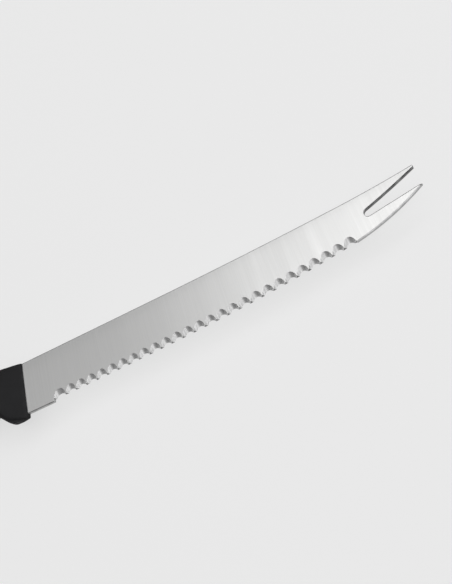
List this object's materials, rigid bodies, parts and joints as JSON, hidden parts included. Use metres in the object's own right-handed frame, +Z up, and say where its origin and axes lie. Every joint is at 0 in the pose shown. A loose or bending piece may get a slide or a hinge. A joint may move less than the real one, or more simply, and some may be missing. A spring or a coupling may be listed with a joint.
{
  "type": "tomato knife",
  "caption": "Small kitchen knife for tomatoes: scalloped edge ground on one side, forked two-point tip and moulded handle with finger guard.",
  "frame": {"origin": "middle of the bounding box in X and Y, on the floor that the knife's left side lies on", "axes": "+X along the knife to the tip, +Y from the edge to the spine, +Z up, out of the ground side of the blade"},
  "size_m": [0.234, 0.0194, 0.013],
  "materials": {
    "steel": "brushed across the blade",
    "handle_plastic": "fine matt texture"
  },
  "bodies": {
    "root": {"blade": "steel", "handle": "handle_plastic"}
  },
  "joints": []
}
